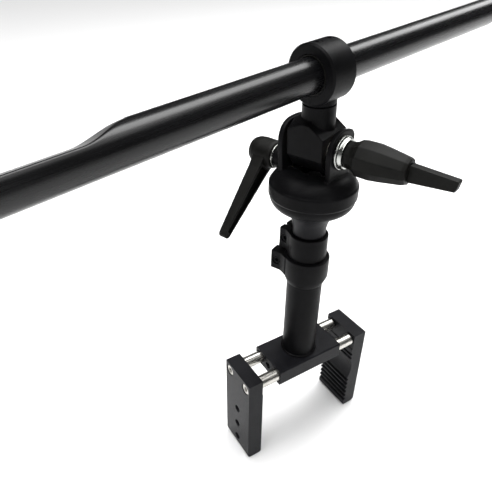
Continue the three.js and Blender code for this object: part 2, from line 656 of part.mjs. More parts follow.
// The boom tube: matching rings of outer and inner sections, joined into one closed skin.
function boomTube() {
  const facets = 36;
  const run = Array.from({ length: 6 }, (_, i) => -RELIEF.from - ((RELIEF.to - RELIEF.from) * i) / 5);
  const stations = [BOOM.right, 0, ...run, -BOOM.left];
  const outer = stations.map((x) => tubeSection(x, BOOM.radius, facets));
  const inner = stations.map((x) => tubeSection(x, BOOM.radius - BOOM.wall, facets)).reverse();
  const rings = [...outer, ...inner];
  const positions = rings.flat().flatMap((p) => [p.x, p.y, p.z]);
  const index = [];
  for (let i = 0; i < rings.length; i++) {
    const next = (i + 1) % rings.length;
    for (let j = 0; j < facets; j++) {
      const k = (j + 1) % facets;
      const [a, b, c, d] = [i * facets + j, i * facets + k, next * facets + k, next * facets + j];
      index.push(a, d, b, b, d, c);
    }
  }
  const geometry = new THREE.BufferGeometry();
  geometry.setAttribute("position", new THREE.Float32BufferAttribute(positions, 3));
  geometry.setIndex(index);
  return solid(geometry);
}

// The ring round the boom, its round stem, and the pin that stands in the neck.
function boomRing() {
  const { radius, left, right } = RING;
  const chamfer = 1.2;
  const foot = NECK.top + GAP;
  const shell = alongX(turned([
    [0, left], [radius - chamfer, left], [radius, left + chamfer], [radius, right - chamfer],
    [radius - chamfer, right], [0, right],
  ], 40));
  const stem = turned([
    [0, STEM.bottom], [STEM.radius - 0.5, STEM.bottom], [STEM.radius, STEM.bottom + 0.5], [STEM.radius, foot],
    [NECK.radius - 0.6, foot], [NECK.radius, foot + 0.6], [NECK.radius, BOOM.z - 8], [0, BOOM.z - 8],
  ], 32);
  return cut(
    joined(toBoomFrame(shell), stem),
    toBoomFrame(rodX(LINER.outer + GAP, -2 * radius, 2 * radius, 0, 0, 36)),
    ...lockScrewPlaces.map((x) => toBoomFrame(rod(3.3, 8, 30, 12).translate([x, 0, 0]))),
  );
}

// A plug in the tube's end: a cap with a rounded rim and a short shank.
function endPlug(shank) {
  return turned([
    [0, -9], [shank, -9], [shank, GAP], [BOOM.radius - 0.2, GAP], [BOOM.radius - 0.2, 1.6],
    [BOOM.radius - 1.2, 2.8], [BOOM.radius - 4, 3.6], [0, 3.6],
  ]);
}

// The plug of the pressed end has the same flat as the tube.
function flatPlug() {
  const plug = alongX(endPlug(PLUG_SHANK)).mirror([1, 0, 0]);
  const level = BOOM.radius - RELIEF.depth;
  const cap = box(-6, 0, -20, 20, level - 0.3, 30);
  const shank = box(-GAP / 2, 10, -20, 20, level - BOOM.wall - 0.7, 30);
  return cut(plug, joined(cap, shank).rotate([RELIEF.turn, 0, 0]));
}

function boom() {
  const group = new THREE.Group();
  group.rotation.z = THREE.MathUtils.degToRad(BOOM.turn);
  group.position.z = BOOM.z;
  group.add(piece("boom_tube", boomTube(), BOOM_BLACK));
  group.add(piece("ring_liner", alongX(tube(LINER.outer, LINER.inner, RING.left, RING.right, 36)), NYLON));
  const right = piece("boom_plug_right", alongX(endPlug(PLUG_SHANK)), PLASTIC);
  right.position.x = BOOM.right;
  const left = piece("boom_plug_left", flatPlug(), PLASTIC);
  left.position.x = -BOOM.left;
  group.add(right, left);
  lockScrewPlaces.forEach((x, i) => {
    const lock = piece("ring_lock_screw_" + (i + 1), setScrewX(3, 6.6, 1.8), COATED);
    lock.rotation.y = Math.PI / 2;
    lock.position.set(x, 0, RING.radius);
    group.add(lock);
  });
  return group;
}

// Everything that tilts with the knuckle, leaning as one about the tilt axis.
function leaning() {
  const group = new THREE.Group();
  group.rotation.x = THREE.MathUtils.degToRad(LEAN);
  group.position.z = TILT.z;
  group.add(piece("tilt_knuckle", tiltKnuckle(), COATED));
  group.add(piece("boom_ring", boomRing(), COATED));
  const screw = piece("ring_stem_screw", setScrewX(2.5, 4.6, 1.5), COATED);
  screw.rotation.z = -Math.PI / 2;
  screw.position.set(0, NECK.radius, STEM.screwZ);
  group.add(screw, boom());
  return group;
}

const stand = new THREE.Group();
stand.add(clamp(), mast(), head());

export default stand;
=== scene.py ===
"""A clamp-on boom arm: a two-jaw clamp, a telescopic mast, a pan and tilt head, and a boom in a ring."""

import json
import math

import bmesh
import bpy
from mathutils import Matrix, Vector


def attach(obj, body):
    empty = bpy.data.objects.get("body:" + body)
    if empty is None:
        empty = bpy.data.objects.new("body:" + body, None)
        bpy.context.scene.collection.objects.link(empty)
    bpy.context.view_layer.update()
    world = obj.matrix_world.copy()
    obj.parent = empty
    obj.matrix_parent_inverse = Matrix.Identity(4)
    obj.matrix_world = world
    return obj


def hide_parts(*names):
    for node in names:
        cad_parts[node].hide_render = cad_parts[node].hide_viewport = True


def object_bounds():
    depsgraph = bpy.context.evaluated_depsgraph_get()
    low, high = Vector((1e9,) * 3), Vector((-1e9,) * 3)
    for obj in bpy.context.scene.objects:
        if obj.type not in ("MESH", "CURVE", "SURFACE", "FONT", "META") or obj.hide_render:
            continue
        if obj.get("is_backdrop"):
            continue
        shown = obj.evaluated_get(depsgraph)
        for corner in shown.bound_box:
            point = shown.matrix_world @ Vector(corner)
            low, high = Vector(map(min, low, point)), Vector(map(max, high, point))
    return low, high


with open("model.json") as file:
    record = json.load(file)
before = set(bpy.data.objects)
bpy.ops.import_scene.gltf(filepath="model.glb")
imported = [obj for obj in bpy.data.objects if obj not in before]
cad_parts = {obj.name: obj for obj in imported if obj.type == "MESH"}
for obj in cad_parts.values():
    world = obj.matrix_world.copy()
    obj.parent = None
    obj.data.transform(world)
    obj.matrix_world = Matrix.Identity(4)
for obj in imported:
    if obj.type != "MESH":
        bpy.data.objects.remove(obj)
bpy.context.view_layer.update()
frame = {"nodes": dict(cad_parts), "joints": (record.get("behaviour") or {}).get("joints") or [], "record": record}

# ---------- places, from the frame ----------
MM = 0.001
TO_METRES = Matrix.Scale(MM, 4)
joints = {joint["name"]: joint for joint in frame["joints"]}
UP = Vector((0, 0, 1))


def placed(origin, along, up):
    """A frame in metres whose +X runs along, and whose +Z is as near as it can be to up."""
    x = Vector(along).normalized()
    y = Vector(up).cross(x).normalized()
    z = x.cross(y)
    matrix = Matrix((x, y, z)).transposed().to_4x4()
    return Matrix.Translation(Vector(origin)) @ matrix


tilt_centre = Vector(joints["head_tilt"]["pos_m"])
tilt_axis = Vector(joints["head_tilt"]["axis"])
boom_centre = Vector(joints["boom_turn"]["pos_m"])
boom_axis = Vector(joints["boom_slide"]["axis"])
WORLD = Matrix.Identity(4)
INWARD = Matrix.Rotation(-math.pi / 2, 4, "Z")  # turns +X to -Y
HEAD = placed((0, 0, 0), tilt_axis, UP)
TILT = placed(tilt_centre, tilt_axis, UP)
LEAN = placed(tilt_centre, tilt_axis, boom_centre - tilt_centre)
BOOM = placed(boom_centre, boom_axis, boom_centre - tilt_centre)

# ---------- driving dimensions, in millimetres and degrees ----------
FINE = 96  # segments round a large turned piece
COARSE = 40  # segments round a screw or a hole
HEX = 6  # sides of a key socket or a hex head
GAP = 0.3

BLOCK_HALF_LENGTH, BLOCK_HALF_WIDTH, BLOCK_HEIGHT, BLOCK_CHAMFER = 35, 20, 16, 1
STUB_HOLE, STUB_FLOOR, SET_SCREW_HOLE, SET_SCREW_HOLE_END = 5.8, 3.4, 3.3, -5
ROD_RADIUS, ROD_OFFSET, ROD_Z = 5.8, 13.2, 8
TAP_RADIUS, TAP_DEPTH, TAP_TIP = 2.5, 18, 19
JAW_INNER, JAW_THICK, JAW_HALF_WIDTH, JAW_HEIGHT = 53.2, 15, 20, 100.5
JAW_PADS, JAW_PAD_RADIUS, JAW_PAD_DEPTH = (32, 53, 73), 3.4, 10
ROD_SEAT, ROD_SEAT_BELOW = 0.5, 17.6
GROOVES, GROOVE_DEPTH, GROOVE_MOUTH, GROOVE_FLOOR = (24.5, 29.5), 1.6, 1.6, 0.7
SCOOP_CENTRE, SCOOP_RADIUS, SCOOP_HALF_ANGLE = (-26, 45), 29.2, 24.3
TEETH, TEETH_FROM, TOOTH_PITCH, TOOTH_DEPTH = 6, 57, 6, 2
JAW_SCREW = {"head_radius": 5, "head_height": 5.2, "shank_radius": 2.7, "length": 29, "socket": 2.6}
JAW_SCREW_RECESS, JAW_SCREW_RECESS_DEPTH, JAW_SCREW_HOLE, JAW_SCREW_SUNK = 5.4, 6, 3.3, 0.5
MAST_RADIUS, MAST_BORE, MAST_BOTTOM, MAST_TOP = 15.3, 13.3, 16.3, 116
POST_RADIUS, POST_BORE, POST_BOTTOM, POST_TOP = 13, 11, 50, 142.6
COLLAR_BORE = POST_RADIUS + GAP
SLIT = 1.6
PINCH_HOLE, PINCH_INSET = 2.3, 5.6
HEAD_POCKET_RADIUS, HEAD_POCKET_DEPTH, NUT_POCKET_RADIUS, NUT_POCKET_DEPTH = 4, 4.2, 4.2, 3.2
EAR_FLARE = 3.5
SPIGOT_BOTTOM, SPIGOT_FOOT, SPIGOT_TOP = 98, 143.4, 165.2
SPIGOT_SHANK, SPIGOT_NECK, SPIGOT_RISE = 10.6, 13.4, 6.6
SPINDLE_HOLE, SPINDLE_DEPTH = 4.4, 14
TILT_Z = tilt_centre.z / MM
LEVER_Z = joints["lever_turn"]["pos_m"][2] / MM
LEVER_ROOT, LEVER_HUB, LEVER_LENGTH, LEVER_REACH = -33.5, 11.5, 22.5, 77
LEVER_OUTER = LEVER_ROOT - LEVER_LENGTH - 2
LEVER_ARM_TURN = -45
TILT_BOLT_HOLE, TILT_BOLT_RADIUS, TILT_BOLT_HEAD = 4.3, 4, 7.5
HANDLE_FROM, HANDLE_LENGTH, HANDLE_END, HANDLE_FACETS, HANDLE_PIN = 26.6, 45, 104.3, 10, 39
NECK_RADIUS, NECK_TOP = 12.1, 31.7
BOOM_RADIUS, BOOM_WALL, BOOM_Z, BOOM_LEFT, BOOM_RIGHT = 11.8, 2, 52.6, 340, 240
RELIEF_FROM, RELIEF_TO, RELIEF_DEPTH, RELIEF_TURN, RELIEF_SHARPNESS = 148, 178, 6, -22, 24
TUBE_STEPS, RELIEF_STEPS = 128, 32
PLUG_EASE = 0.7
RING_RADIUS, RING_HALF, RING_TURN = 20.4, 12, 84
LINER_SCREWS, LINER_SCREW_HOLE = (-6, 6), 3.3
STEM_RADIUS, STEM_BOTTOM, STEM_SCREW_Z = 7, 21.5, 26.5
LINER_OUTER = 1.5
BORE_RADIUS = BOOM_RADIUS + LINER_OUTER + GAP


# ---------- mesh code ----------
def mesh_object(name, mesh):
    thing = bpy.data.objects.new(name, mesh)
    bpy.context.scene.collection.objects.link(thing)
    return thing


def build(faces, points):
    """A mesh object from points and faces, with its faces turned outwards."""
    mesh = bpy.data.meshes.new("shape")
    mesh.from_pydata([tuple(p) for p in points], [], faces)
    shape = bmesh.new()
    shape.from_mesh(mesh)
    bmesh.ops.remove_doubles(shape, verts=shape.verts, dist=1e-5)
    bmesh.ops.recalc_face_normals(shape, faces=shape.faces)
    shape.to_mesh(mesh)
    shape.free()
    return mesh_object("shape", mesh)


def lathe(profile, steps=FINE):
    """A turned solid about Z from (radius, z) points that start and end on the axis, or close up."""
    points, faces = [], []
    for i in range(steps):
        angle = 2 * math.pi * i / steps
        points += [(r * math.cos(angle), r * math.sin(angle), z) for r, z in profile]
    count = len(profile)
    for i in range(steps):
        here, there = i * count, (i + 1) % steps * count
        for j in range(count - 1):
            flat = profile[j][0] == 0 and profile[j + 1][0] == 0
            if not flat:
                faces.append((here + j, there + j, there + j + 1, here + j + 1))
    return build(faces, points)


def cylinder(radius, low, high, steps=COARSE):
    return lathe([(0, low), (radius, low), (radius, high), (0, high)], steps)


def along_x(thing, y=0.0, z=0.0):
    thing.data.transform(Matrix.Translation((0, y, z)) @ Matrix.Rotation(math.pi / 2, 4, "Y"))
    return thing


def along_y(thing, x=0.0, z=0.0):
    thing.data.transform(Matrix.Translation((x, 0, z)) @ Matrix.Rotation(-math.pi / 2, 4, "X"))
    return thing


def rod_x(radius, low, high, y=0.0, z=0.0, steps=COARSE):
    return along_x(cylinder(radius, low, high, steps), y, z)


def rod_y(radius, low, high, x=0.0, z=0.0, steps=COARSE):
    return along_y(cylinder(radius, low, high, steps), x, z)


def moved(thing, x=0.0, y=0.0, z=0.0):
    thing.data.transform(Matrix.Translation((x, y, z)))
    return thing


def turned_about(thing, axis, degrees):
    thing.data.transform(Matrix.Rotation(math.radians(degrees), 4, axis))
    return thing


def plate(outline, low, high, plane):
    """An outline extruded between two values of the third axis. plane is XZ, YZ or XY."""
    place = {
        "XZ": lambda a, b, c: (a, c, b),
        "YZ": lambda a, b, c: (c, a, b),
        "XY": lambda a, b, c: (a, b, c),
    }[plane]
    count = len(outline)
    points = [place(a, b, c) for c in (low, high) for a, b in outline]
    sides = [(i, (i + 1) % count, (i + 1) % count + count, i + count) for i in range(count)]
    return build(sides + [tuple(range(count)), tuple(range(count, 2 * count))], points)


def box(x0, x1, y0, y1, z0, z1):
    return plate([(x0, y0), (x1, y0), (x1, y1), (x0, y1)], z0, z1, "XY")


def arc(cx, cy, radius, start, end, steps):
    angles = [math.radians(start + (end - start) * i / steps) for i in range(steps + 1)]
    return [(cx + radius * math.cos(a), cy + radius * math.sin(a)) for a in angles]


def baked(thing):
    """Applies the object's modifiers to its mesh."""
    bpy.context.view_layer.update()
    evaluated = thing.evaluated_get(bpy.context.evaluated_depsgraph_get())
    mesh = bpy.data.meshes.new_from_object(evaluated)
    thing.modifiers.clear()
    thing.data = mesh
    return thing


def combine(thing, others, operation):
    for other in others:
        modifier = thing.modifiers.new("join", "BOOLEAN")
        modifier.operation = operation
        modifier.solver = "EXACT"
        modifier.object = other
        baked(thing)
        bpy.data.objects.remove(other)
    return thing


def joined(thing, *others):
    return combine(thing, others, "UNION")


def cut(thing, *others):
    return combine(thing, others, "DIFFERENCE")


def rounded(thing, width, angle=32, segments=3):
    """Rounds the edges, with flat faces kept flat in the shading."""
    clean = bmesh.new()
    clean.from_mesh(thing.data)
    bmesh.ops.remove_doubles(clean, verts=clean.verts, dist=1e-4)
    bmesh.ops.dissolve_degenerate(clean, edges=clean.edges, dist=1e-4)
    clean.to_mesh(thing.data)
    clean.free()
    thing.data.shade_smooth()
    bevel = thing.modifiers.new("edges", "BEVEL")
    bevel.width = width
    bevel.segments = segments
    bevel.limit_method = "ANGLE"
    bevel.angle_limit = math.radians(angle)
    bevel.use_clamp_overlap = True
    weighted = thing.modifiers.new("shading", "WEIGHTED_NORMAL")
    weighted.keep_sharp = False
    return baked(thing)


def moulded(thing, voxel, smoothing):
    """Runs the surface over with a fine mesh, so that every edge and inside corner gets a small fillet."""
    remesh = thing.modifiers.new("skin", "REMESH")
    remesh.mode = "VOXEL"
    remesh.voxel_size = voxel
    smooth = thing.modifiers.new("soft", "SMOOTH")
    smooth.iterations = smoothing
    smooth.factor = 0.5
    baked(thing)
    thing.data.shade_smooth()
    return thing


def finished(thing, name, place, body, material):
    """Places a piece that was built in millimetres, and says what it rides on and stands for."""
    thing.data.transform(place @ TO_METRES)
    thing.name = name
    thing.data.name = name
    thing.data.materials.clear()
    thing.data.materials.append(MATERIALS[material])
    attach(thing, body)
    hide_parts(name.removeprefix("look_"))
    return thing


# ---------- materials ----------
def new_material(name, color, metallic, roughness):
    material = bpy.data.materials.new(name)
    material.use_nodes = True
    shader = material.node_tree.nodes["Principled BSDF"]
    shader.inputs["Base Color"].default_value = (*color, 1)
    shader.inputs["Metallic"].default_value = metallic
    shader.inputs["Roughness"].default_value = roughness
    return material, material.node_tree.nodes, material.node_tree.links, shader


def stretched(nodes, links, scale):
    """Object coordinates in metres, scaled by one number for each axis."""
    place = nodes.new("ShaderNodeTexCoord")
    mapping = nodes.new("ShaderNodeMapping")
    mapping.inputs["Scale"].default_value = scale
    links.new(place.outputs["Object"], mapping.inputs["Vector"])
    return mapping.outputs["Vector"]


def noise(nodes, links, vector, scale, detail=4.0, rough=0.6):
    texture = nodes.new("ShaderNodeTexNoise")
    texture.inputs["Scale"].default_value = scale
    texture.inputs["Detail"].default_value = detail
    texture.inputs["Roughness"].default_value = rough
    links.new(vector, texture.inputs["Vector"])
    return texture.outputs["Fac"]


def remapped(nodes, links, value, low, high, start=0.3, end=0.7):
    ramp = nodes.new("ShaderNodeMapRange")
    ramp.inputs["From Min"].default_value = start
    ramp.inputs["From Max"].default_value = end
    ramp.inputs["To Min"].default_value = low
    ramp.inputs["To Max"].default_value = high
    links.new(value, ramp.inputs["Value"])
    return ramp.outputs["Result"]


def blended(nodes, links, share, first, second):
    mix = nodes.new("ShaderNodeMix")
    mix.data_type = "RGBA"
    mix.inputs[6].default_value = (*first, 1)
    mix.inputs[7].default_value = (*second, 1)
    links.new(share, mix.inputs[0])
    return mix.outputs[2]


def bumped(nodes, links, shader, height, strength, distance, edge=0.0):
    """A bump from a height, over edges that are rounded in the shading."""
    bump = nodes.new("ShaderNodeBump")
    bump.inputs["Strength"].default_value = strength
    bump.inputs["Distance"].default_value = distance
    links.new(height, bump.inputs["Height"])
    if edge:
        bevel = nodes.new("ShaderNodeBevel")
        bevel.samples = 4
        bevel.inputs["Radius"].default_value = edge
        links.new(bevel.outputs["Normal"], bump.inputs["Normal"])
    links.new(bump.outputs["Normal"], shader.inputs["Normal"])


def coated_look(name, dark, light, specular, smooth, rough, grain, strength):
    """A dark coat or anodised skin: a fine grain, a cloudy tone, and patches that shine a little more."""
    material, nodes, links, shader = new_material(name, dark, 0.0, rough)
    shader.inputs["Specular IOR Level"].default_value = specular
    vector = stretched(nodes, links, (1, 1, 1))
    fine = noise(nodes, links, vector, grain, 3.0)
    clouds = noise(nodes, links, vector, 60, 5.0)
    specks = noise(nodes, links, vector, grain * 0.35, 2.0)
    tone = remapped(nodes, links, clouds, 0.0, 1.0, 0.35, 0.68)
    links.new(blended(nodes, links, tone, dark, light), shader.inputs["Base Color"])
    links.new(remapped(nodes, links, specks, rough, smooth, 0.4, 0.75), shader.inputs["Roughness"])
    bumped(nodes, links, shader, fine, strength, 0.0002, 0.00025)
    return material


def boom_look():
    """The boom's drawn tube: faint drawing lines along it under a semi-gloss skin, with a few long scuffs."""
    dark, light = (0.002, 0.002, 0.0023), (0.006, 0.006, 0.0068)
    material, nodes, links, shader = new_material("boom_black", dark, 0.0, 0.3)
    shader.inputs["Specular IOR Level"].default_value = 0.36
    place = nodes.new("ShaderNodeTexCoord")
    turn = nodes.new("ShaderNodeMapping")
    turn.vector_type = "TEXTURE"
    turn.inputs["Rotation"].default_value = BOOM.to_euler()
    links.new(place.outputs["Object"], turn.inputs["Vector"])
    stretch = nodes.new("ShaderNodeMapping")
    stretch.inputs["Scale"].default_value = (0.03, 1, 1)
    links.new(turn.outputs["Vector"], stretch.inputs["Vector"])
    lines = noise(nodes, links, stretch.outputs["Vector"], 1500, 4.0)
    scuffs = noise(nodes, links, stretch.outputs["Vector"], 220, 6.0, 0.75)
    tone = remapped(nodes, links, scuffs, 0.0, 1.0, 0.45, 0.8)
    links.new(blended(nodes, links, tone, dark, light), shader.inputs["Base Color"])
    links.new(remapped(nodes, links, scuffs, 0.22, 0.34, 0.3, 0.75), shader.inputs["Roughness"])
    bumped(nodes, links, shader, lines, 0.04, 0.00004, 0.0003)
    return material


def clouded_colour(nodes, links, shader, clouds, dark, light):
    tone = remapped(nodes, links, clouds, 0, 1)
    links.new(blended(nodes, links, tone, dark, light), shader.inputs["Base Color"])


def plastic_look():
    """A black nylon moulding with a fine spark-eroded grain."""
    dark, light = (0.0026, 0.0026, 0.0023), (0.0055, 0.0055, 0.0048)
    material, nodes, links, shader = new_material("black_plastic", dark, 0.0, 0.5)
    shader.inputs["Specular IOR Level"].default_value = 0.1
    vector = stretched(nodes, links, (1, 1, 1))
    grain = noise(nodes, links, vector, 2600, 3.0)
    clouds = noise(nodes, links, vector, 90, 4.0)
    clouded_colour(nodes, links, shader, clouds, dark, light)
    links.new(remapped(nodes, links, clouds, 0.42, 0.56), shader.inputs["Roughness"])
    bumped(nodes, links, shader, grain, 0.35, 0.00012, 0.0004)
    return material


def bare_metal_look(name, dark, light, smooth, rough, scale, strength):
    """Bare metal with fine turning and grinding marks, and a thin uneven bloom."""
    material, nodes, links, shader = new_material(name, light, 1.0, rough)
    marks = noise(nodes, links, stretched(nodes, links, scale), 900, 4.0)
    bloom = noise(nodes, links, stretched(nodes, links, (1, 1, 1)), 140, 5.0)
    clouded_colour(nodes, links, shader, bloom, dark, light)
    links.new(remapped(nodes, links, marks, smooth, rough), shader.inputs["Roughness"])
    bumped(nodes, links, shader, marks, strength, 0.00005, 0.0002)
    return material


def nylon_look():
    """Natural nylon, slightly clouded."""
    dark, light = (0.5, 0.47, 0.4), (0.66, 0.63, 0.56)
    material, nodes, links, shader = new_material("nylon", light, 0.0, 0.5)
    vector = stretched(nodes, links, (1, 1, 1))
    clouds = noise(nodes, links, vector, 220, 4.0)
    clouded_colour(nodes, links, shader, clouds, dark, light)
    bumped(nodes, links, shader, noise(nodes, links, vector, 1800, 3.0), 0.2, 0.0001)
    return material


MATERIALS = {
    "anodised_aluminium": coated_look(
        "anodised_aluminium", dark=(0.0055, 0.0055, 0.0068), light=(0.0095, 0.0095, 0.0114),
        specular=0.1, smooth=0.32, rough=0.44, grain=2400, strength=0.25,
    ),
    "black_coated_metal": coated_look(
        "black_coated_metal", dark=(0.0028, 0.0028, 0.0031), light=(0.005, 0.005, 0.0056),
        specular=0.055, smooth=0.3, rough=0.42, grain=1700, strength=0.34,
    ),
    "boom_black": boom_look(),
    "black_plastic": plastic_look(),
    "stainless_steel": bare_metal_look(
        "stainless_steel", dark=(0.46, 0.45, 0.42), light=(0.6, 0.585, 0.55),
        smooth=0.2, rough=0.34, scale=(0.06, 1, 1), strength=0.16,
    ),
    "chrome": bare_metal_look(
        "chrome", dark=(0.36, 0.37, 0.35), light=(0.52, 0.53, 0.51),
        smooth=0.16, rough=0.3, scale=(1, 1, 1), strength=0.08,
    ),
    "brass": bare_metal_look(
        "brass", dark=(0.45, 0.3, 0.1), light=(0.66, 0.47, 0.2),
        smooth=0.2, rough=0.34, scale=(1, 1, 0.1), strength=0.15,
    ),
    "nylon": nylon_look(),
}


# ---------- clamp ----------
ROD_SIDES = (("front", -1), ("rear", 1))


def hex_screw(head_radius, head_height, shank_radius, length, socket):
    """A socket head screw along +X, its head's outer face at x = 0."""
    head = lathe([
        (0, 0), (head_radius - 0.6, 0), (head_radius - 0.15, 0.2), (head_radius, 0.6),
        (head_radius, head_height), (shank_radius, head_height), (shank_radius, length), (0, length),
    ], COARSE)
    recess = joined(
        cylinder(socket, -1, head_height * 0.6, HEX),
        lathe([(0, -1), (socket + 1.1, -1), (socket + 0.1, 0.35), (0, 0.35)], COARSE),
    )
    return rounded(along_x(cut(head, recess)), 0.12, 40, 2)


def clamp_block():
    c, w, h = BLOCK_CHAMFER, BLOCK_HALF_WIDTH, BLOCK_HEIGHT
    section = [(-w + c, 0), (w - c, 0), (w, c), (w, h - c), (w - c, h), (-w + c, h), (-w, h - c), (-w, c)]
    body = plate(section, -BLOCK_HALF_LENGTH, BLOCK_HALF_LENGTH, "YZ")
    reach = BLOCK_HALF_LENGTH + 1
    for _, side in ROD_SIDES:
        body = cut(body, rod_x(ROD_RADIUS + GAP, -reach, reach, side * ROD_OFFSET, ROD_Z, FINE))
    set_screw_hole = rod_x(SET_SCREW_HOLE, -reach, SET_SCREW_HOLE_END, 0, ROD_Z)
    body = cut(body, cylinder(STUB_HOLE, STUB_FLOOR, h + 1), set_screw_hole)
    finished(rounded(body, 0.45), "look_slide_block", WORLD, "block", "anodised_aluminium")


def jaw_outline(toothed):
    """The jaw from its gripping face at x = 0 to its back. One has two grooves, a scoop and teeth."""
    top = BLOCK_HEIGHT
    points = [(ROD_SEAT, top), (ROD_SEAT, top - ROD_SEAT_BELOW), (0, top - ROD_SEAT_BELOW)]
    if toothed:
        for centre in GROOVES:
            points += [(0, top - centre + GROOVE_MOUTH), (GROOVE_DEPTH, top - centre + GROOVE_FLOOR)]
            points += [(GROOVE_DEPTH, top - centre - GROOVE_FLOOR), (0, top - centre - GROOVE_MOUTH)]
        off, down = SCOOP_CENTRE
        scoop = arc(off, top - down, SCOOP_RADIUS, SCOOP_HALF_ANGLE, -SCOOP_HALF_ANGLE, 24)
        points += [(max(x, 0), z) for x, z in scoop]
        for i in range(TEETH):
            tooth = top - TEETH_FROM - TOOTH_PITCH * i
            points += [(0, tooth - 2), (TOOTH_DEPTH, tooth - 3.4)]
            points += [(TOOTH_DEPTH, tooth - 5), (0, tooth - 6.4)]
    foot = top - JAW_HEIGHT
    points += [(0, foot + 2.2)]
    points += arc(2, foot + 2, 2, 180, 270, 6)
    points += arc(JAW_THICK - 4, foot + 4, 4, 270, 360, 10)
    points += [(JAW_THICK, top)]
    return points


def clamp_jaws():
    for end, direction in (("left", -1), ("right", 1)):
        jaw = plate(jaw_outline(direction > 0), -JAW_HALF_WIDTH, JAW_HALF_WIDTH, "XZ")
        for depth in JAW_PADS:
            countersink = along_x(lathe([
                (0, -0.1), (JAW_PAD_RADIUS + 0.7, -0.1), (JAW_PAD_RADIUS - 0.1, 0.8), (0, 0.8),
            ]), 0, -depth)
            jaw = cut(jaw, rod_x(JAW_PAD_RADIUS, JAW_THICK - JAW_PAD_DEPTH, JAW_THICK + 1, 0, -depth))
            jaw = cut(jaw, moved(turned_about(countersink, "Z", 180), JAW_THICK, 0, 0))
        for _, side in ROD_SIDES:
            y, recess = side * ROD_OFFSET, JAW_THICK - JAW_SCREW_RECESS_DEPTH
            jaw = cut(jaw, rod_x(JAW_SCREW_RECESS, recess, JAW_THICK + 1, y, ROD_Z))
            jaw = cut(jaw, rod_x(JAW_SCREW_HOLE, -1, JAW_THICK, y, ROD_Z))
        rounded(jaw, 0.45)
        turn = Matrix.Rotation(0 if direction > 0 else math.pi, 4, "Z")
        place = Matrix.Translation((direction * JAW_INNER * MM, 0, 0)) @ turn
        finished(jaw, f"look_{end}_jaw", place, "jaw_frame", "anodised_aluminium")
        for label, side in ROD_SIDES:
            screw = hex_screw(**JAW_SCREW)
            outer = direction * (JAW_INNER + JAW_THICK - JAW_SCREW_SUNK)
            turn = Matrix.Rotation(math.pi if direction > 0 else 0, 4, "Z")
            place = Matrix.Translation((outer * MM, side * ROD_OFFSET * MM, ROD_Z * MM)) @ turn
            finished(screw, f"look_{end}_jaw_screw_{label}", place, "jaw_frame", "stainless_steel")


def guide_rods():
    half = JAW_INNER + ROD_SEAT - GAP
    for label, side in ROD_SIDES:
        bar = lathe([
            (0, -half + TAP_TIP), (TAP_RADIUS, -half + TAP_DEPTH), (TAP_RADIUS, -half),
            (ROD_RADIUS - 0.5, -half), (ROD_RADIUS, -half + 0.5),
            (ROD_RADIUS, half - 0.5), (ROD_RADIUS - 0.5, half),
            (TAP_RADIUS, half), (TAP_RADIUS, half - TAP_DEPTH), (0, half - TAP_TIP),
        ])
        bar = rounded(along_x(bar, side * ROD_OFFSET, ROD_Z), 0.1, 40, 2)
        finished(bar, f"look_guide_rod_{label}", WORLD, "jaw_frame", "stainless_steel")


def set_screw(name, radius, length, socket, place, body):
    screw = lathe([
        (0, 0), (radius - 0.5, 0), (radius, 0.5), (radius, length - 0.6), (radius - 0.6, length), (0, length),
    ], COARSE)
    screw = rounded(along_x(cut(screw, cylinder(socket, -1, 2.5, HEX))), 0.1, 40, 2)
    finished(screw, f"look_{name}", place, body, "black_coated_metal")


# ---------- mast ----------
def mast_tube():
    tube = lathe([
        (MAST_BORE, MAST_BOTTOM), (MAST_RADIUS + 1.2, MAST_BOTTOM), (MAST_RADIUS + 1.4, MAST_BOTTOM + 0.3),
        (MAST_RADIUS + 1.2, MAST_BOTTOM + 0.9), (MAST_RADIUS + 0.3, MAST_BOTTOM + 1.3),
        (MAST_RADIUS, MAST_BOTTOM + 2), (MAST_RADIUS, MAST_TOP), (MAST_BORE, MAST_TOP),
        (MAST_BORE, MAST_BOTTOM),
    ])
    finished(rounded(tube, 0.15, 30, 2), "look_mast_tube", WORLD, "block", "black_coated_metal")
    post = lathe([
        (POST_BORE, POST_BOTTOM), (POST_RADIUS, POST_BOTTOM), (POST_RADIUS, POST_TOP - 0.5),
        (POST_RADIUS - 0.5, POST_TOP), (POST_BORE, POST_TOP), (POST_BORE, POST_BOTTOM),
    ])
    finished(rounded(post, 0.1, 30, 2), "look_telescopic_post", WORLD, "post", "black_coated_metal")


